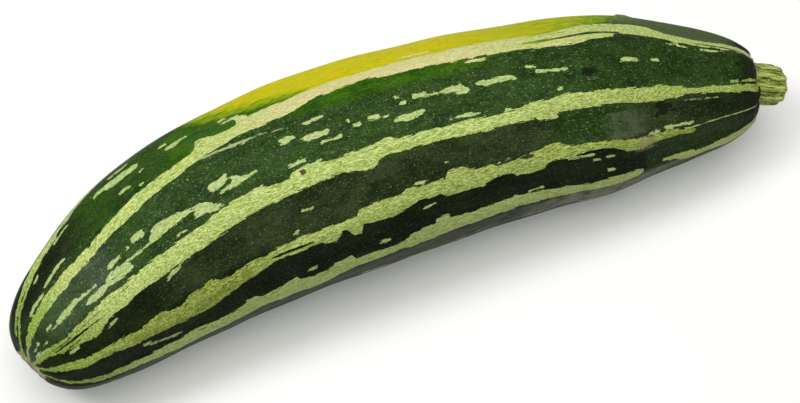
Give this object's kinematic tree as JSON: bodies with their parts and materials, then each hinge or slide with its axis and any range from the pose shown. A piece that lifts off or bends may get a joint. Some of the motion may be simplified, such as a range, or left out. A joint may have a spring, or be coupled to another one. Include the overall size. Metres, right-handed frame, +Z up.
{
  "type": "zucchini",
  "caption": "Large striped zucchini, gently curved and thickest before its middle, with a blunt blossom end and a short ridged stem cut slantwise, lying on its side.",
  "frame": {"origin": "middle of the bounding box, on the table plane that the fruit rests on", "axes": "+X runs from the blossom end to the stem end, +Y towards the outer side of the sideways bend, +Z up"},
  "size_m": [0.3037, 0.0829, 0.0755],
  "materials": {
    "skin": null,
    "stem": null
  },
  "bodies": {
    "root": {"fruit": "skin", "stem": "stem"}
  },
  "joints": []
}
